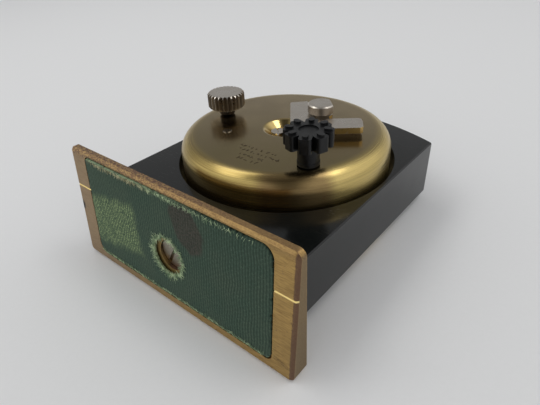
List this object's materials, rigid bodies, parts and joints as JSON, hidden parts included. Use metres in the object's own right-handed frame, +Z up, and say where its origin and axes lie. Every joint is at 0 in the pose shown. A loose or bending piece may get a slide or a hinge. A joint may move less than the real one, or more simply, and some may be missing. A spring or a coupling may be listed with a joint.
{
  "type": "desk alarm clock",
  "caption": "Small desk alarm clock lying on its face: black arched slab case, wedge brass foot with green felt, round brass movement cover with winding key, hand-setting knob and alarm knob.",
  "frame": {"origin": "centre of the box's base, on the surface that the clock lies on, face down", "axes": "+Z up out of the clock's back, +Y from the foot to the clock's top, +X across the clock"},
  "size_m": [0.0594, 0.0674, 0.0313],
  "materials": {
    "black_lacquer": "polished black lacquer",
    "satin_brass": "circumferentially brushed, aged",
    "foot_brass": "brushed, worn edges",
    "bezel_brass": "polished",
    "nickel": "satin nickel plate",
    "worn_nickel": "nickel plate worn to brass at its edges",
    "dark_steel": "blued and oiled",
    "steel": "ground",
    "movement_brass": "fine matt",
    "black_plastic": "moulded, light sheen",
    "green_felt": "woven baize, worn and stained",
    "glass": "clear",
    "dial_paint": "silvered matt",
    "marker_gilt": "polished gilt",
    "hand_black": "black"
  },
  "bodies": {
    "case": {"case_body": "black_lacquer", "foot_plate": "foot_brass", "foot_felt": "green_felt", "foot_screw": "nickel", "bezel": "bezel_brass", "crystal": "glass", "dial": "dial_paint", "hour_markers": "marker_gilt", "mounting_ring": "movement_brass", "movement_cover": "satin_brass", "cover_screw": "nickel", "cover_post": "movement_brass", "cover_pin": "nickel", "front_plate": "movement_brass", "back_plate": "movement_brass", "plate_pillars": "movement_brass", "plate_screws": "steel", "click_stud": "steel", "click_spring": "steel", "balance_cock": "movement_brass"},
    "winding_key": {"winding_arbor": "steel", "ratchet_wheel": "steel", "key_hub": "nickel", "key_wing": "worn_nickel"},
    "ratchet_click": {"click": "steel"},
    "spring_barrel": {"barrel": "movement_brass", "mainspring": "dark_steel"},
    "minute_group": {"centre_wheel": "movement_brass", "cannon_pinion": "steel", "minute_hand": "hand_black"},
    "third_group": {"third_wheel": "movement_brass"},
    "escape_group": {"escape_wheel": "steel"},
    "lever_group": {"pallet_lever": "steel"},
    "balance_group": {"balance_wheel": "movement_brass", "hairspring": "dark_steel"},
    "minute_wheel_group": {"minute_wheel": "movement_brass"},
    "hour_group": {"hour_wheel": "movement_brass", "hour_hand": "hand_black"},
    "setting_group": {"setting_arbor": "dark_steel", "setting_knob": "nickel"},
    "alarm_setting_group": {"alarm_arbor": "steel", "alarm_knob": "black_plastic"},
    "alarm_hand_group": {"alarm_wheel": "movement_brass", "alarm_hand": "marker_gilt"},
    "hammer_group": {"alarm_hammer": "steel"}
  },
  "joints": [
    {"name": "minute_hand_turn", "type": "hinge", "parent": "case", "child": "minute_group", "pos_m": [0, 0.00416, 0.00443], "axis": [0, 0.0554, 0.9985], "continuous": true},
    {"name": "hour_hand_turn", "type": "hinge", "parent": "case", "child": "hour_group", "pos_m": [0, 0.00421, 0.00543], "axis": [0, 0.0554, 0.9985], "continuous": true},
    {"name": "minute_wheel_turn", "type": "hinge", "parent": "case", "child": "minute_wheel_group", "pos_m": [-0.00725, 0.0001, 0.00766], "axis": [0, 0.0554, 0.9985], "continuous": true},
    {"name": "setting_knob_turn", "type": "hinge", "parent": "case", "child": "setting_group", "pos_m": [-0.0163, 0.00367, 0.02279], "axis": [0, 0.0554, 0.9985], "continuous": true},
    {"name": "barrel_turn", "type": "hinge", "parent": "case", "child": "spring_barrel", "pos_m": [0.0053, 0.0112, 0.01406], "axis": [0, 0.0554, 0.9985], "continuous": true},
    {"name": "third_wheel_turn", "type": "hinge", "parent": "case", "child": "third_group", "pos_m": [-0.00639, 0.0025, 0.01655], "axis": [0, 0.0554, 0.9985], "continuous": true},
    {"name": "escape_wheel_turn", "type": "hinge", "parent": "case", "child": "escape_group", "pos_m": [-0.00837, 0.00794, 0.01624], "axis": [0, 0.0554, 0.9985], "continuous": true},
    {"name": "key_turn", "type": "hinge", "parent": "case", "child": "winding_key", "pos_m": [0.0053, 0.01166, 0.02235], "axis": [0, 0.0554, 0.9985], "continuous": true},
    {"name": "click_lift", "type": "hinge", "parent": "case", "child": "ratchet_click", "pos_m": [0.0119, 0.00909, 0.01938], "axis": [0, 0.0554, 0.9985], "range_deg": [0, 8], "stiffness_Nm_per_rad": 0.00002},
    {"name": "lever_rock", "type": "hinge", "parent": "case", "child": "lever_group", "pos_m": [-0.00898, 0.01076, 0.01429], "axis": [0, 0.0554, 0.9985], "range_deg": [-4, 4]},
    {"name": "balance_swing", "type": "hinge", "parent": "case", "child": "balance_group", "pos_m": [-0.0095, 0.01349, 0.01924], "axis": [0, 0.0554, 0.9985], "range_deg": [-130, 130]},
    {"name": "alarm_knob_turn", "type": "hinge", "parent": "case", "child": "alarm_setting_group", "pos_m": [0.0142, -0.00591, 0.02332], "axis": [0, 0.0554, 0.9985], "continuous": true},
    {"name": "alarm_hand_turn", "type": "hinge", "parent": "case", "child": "alarm_hand_group", "pos_m": [0, 0.00427, 0.00643], "axis": [0, 0.0554, 0.9985], "continuous": true},
    {"name": "hammer_strike", "type": "hinge", "parent": "case", "child": "hammer_group", "pos_m": [0.002, -0.00968, 0.01672], "axis": [0, 0.0554, 0.9985], "range_deg": [0, 7]}
  ],
  "couplings": [
    {"joint": "hour_hand_turn", "follows": "minute_hand_turn", "ratio": 0.083333},
    {"joint": "minute_wheel_turn", "follows": "minute_hand_turn", "ratio": -0.33333},
    {"joint": "setting_knob_turn", "follows": "minute_hand_turn", "ratio": 0.66667},
    {"joint": "barrel_turn", "follows": "minute_hand_turn", "ratio": -0.13889},
    {"joint": "third_wheel_turn", "follows": "minute_hand_turn", "ratio": -7.5},
    {"joint": "escape_wheel_turn", "follows": "minute_hand_turn", "ratio": 46.875},
    {"joint": "alarm_hand_turn", "follows": "alarm_knob_turn", "ratio": -0.33333}
  ]
}
